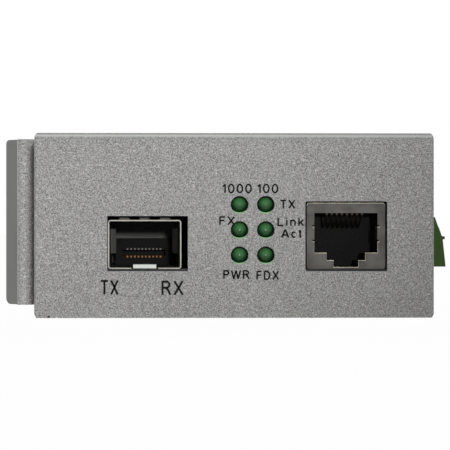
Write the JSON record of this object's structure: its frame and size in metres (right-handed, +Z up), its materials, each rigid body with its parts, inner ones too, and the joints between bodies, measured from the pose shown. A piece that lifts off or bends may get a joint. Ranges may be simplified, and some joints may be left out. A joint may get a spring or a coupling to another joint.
{
  "type": "fibre media converter",
  "caption": "Grey folded-steel converter box with a fibre module cage, a shielded copper jack, green lamps, a rail clip on its side and a pull-off power terminal.",
  "frame": {"origin": "the middle of the body's flat bottom face", "axes": "+Y runs from the port face to the back, +Z runs up, +X runs to the right seen from the port face"},
  "size_m": [0.0978, 0.1, 0.037],
  "materials": {
    "body_paint": "fine speckled grey powder coat",
    "zinc_plate": "bright zinc plate",
    "spring_wire": "plain spring steel",
    "board_green": "satin solder mask",
    "cage_metal": "bright nickel plate",
    "jack_metal": "dull nickel plate",
    "black_plastic": "moulded black",
    "gold_contact": "thin gold plate",
    "tin_lead": "tin plate",
    "lamp_green": "tinted clear resin",
    "terminal_green": "moulded green",
    "fuse_brown": "moulded brown"
  },
  "bodies": {
    "root": {"front_cover": "body_paint", "base_tray": "body_paint", "rail_bracket": "body_paint", "case_screws": "zinc_plate", "board_screws": "zinc_plate", "board_standoffs": "zinc_plate", "bracket_screws": "zinc_plate", "latch_spring": "spring_wire", "circuit_board": "board_green", "fibre_cage": "cage_metal", "copper_jack_shield": "jack_metal", "fibre_connector": "black_plastic", "copper_jack_insert": "black_plastic", "lamp_holder": "black_plastic", "line_transformer": "black_plastic", "converter_chip": "black_plastic", "copper_driver_chip": "black_plastic", "setting_memory_chip": "black_plastic", "regulator_chip": "black_plastic", "input_capacitor": "black_plastic", "output_capacitor": "black_plastic", "power_choke": "black_plastic", "fibre_contacts": "gold_contact", "copper_jack_wires": "gold_contact", "lamp_leads": "tin_lead", "header_pins": "tin_lead", "crystal_can": "tin_lead", "lamp_low_left": "lamp_green", "lamp_low_right": "lamp_green", "lamp_middle_left": "lamp_green", "lamp_middle_right": "lamp_green", "lamp_high_left": "lamp_green", "lamp_high_right": "lamp_green", "terminal_header": "terminal_green", "input_fuse": "fuse_brown"},
    "terminal_plug": {"plug_housing": "terminal_green", "plug_contacts": "tin_lead"},
    "latch": {"rail_latch": "zinc_plate"},
    "screw_1": {"clamp_screw_1": "tin_lead"},
    "clamp_1": {"wire_clamp_1": "tin_lead"},
    "screw_2": {"clamp_screw_2": "tin_lead"},
    "clamp_2": {"wire_clamp_2": "tin_lead"},
    "screw_3": {"clamp_screw_3": "tin_lead"},
    "clamp_3": {"wire_clamp_3": "tin_lead"},
    "screw_4": {"clamp_screw_4": "tin_lead"},
    "clamp_4": {"wire_clamp_4": "tin_lead"}
  },
  "joints": [
    {"name": "plug_pull", "type": "slide", "parent": "root", "child": "terminal_plug", "axis": [1, 0, 0], "range_m": [0, 0.012]},
    {"name": "latch_slide", "type": "slide", "parent": "root", "child": "latch", "axis": [0, 1, 0], "range_m": [0, 0.003], "stiffness_N_per_m": 900, "springref_m": -0.001, "deforming": ["latch_spring"]},
    {"name": "screw_turn_1", "type": "hinge", "parent": "terminal_plug", "child": "screw_1", "pos_m": [0.04375, -0.00072, 0.0175], "axis": [0, 0, -1], "range_deg": [0, 1800]},
    {"name": "clamp_rise_1", "type": "slide", "parent": "terminal_plug", "child": "clamp_1", "axis": [0, 0, 1], "range_m": [0, 0.002]},
    {"name": "screw_turn_2", "type": "hinge", "parent": "terminal_plug", "child": "screw_2", "pos_m": [0.04375, 0.0031, 0.0175], "axis": [0, 0, -1], "range_deg": [0, 1800]},
    {"name": "clamp_rise_2", "type": "slide", "parent": "terminal_plug", "child": "clamp_2", "axis": [0, 0, 1], "range_m": [0, 0.002]},
    {"name": "screw_turn_3", "type": "hinge", "parent": "terminal_plug", "child": "screw_3", "pos_m": [0.04375, 0.0069, 0.0175], "axis": [0, 0, -1], "range_deg": [0, 1800]},
    {"name": "clamp_rise_3", "type": "slide", "parent": "terminal_plug", "child": "clamp_3", "axis": [0, 0, 1], "range_m": [0, 0.002]},
    {"name": "screw_turn_4", "type": "hinge", "parent": "terminal_plug", "child": "screw_4", "pos_m": [0.04375, 0.01072, 0.0175], "axis": [0, 0, -1], "range_deg": [0, 1800]},
    {"name": "clamp_rise_4", "type": "slide", "parent": "terminal_plug", "child": "clamp_4", "axis": [0, 0, 1], "range_m": [0, 0.002]}
  ],
  "couplings": [
    {"joint": "screw_turn_1", "follows": "clamp_rise_1", "rad_per_m": 15708},
    {"joint": "screw_turn_2", "follows": "clamp_rise_2", "rad_per_m": 15708},
    {"joint": "screw_turn_3", "follows": "clamp_rise_3", "rad_per_m": 15708},
    {"joint": "screw_turn_4", "follows": "clamp_rise_4", "rad_per_m": 15708}
  ]
}
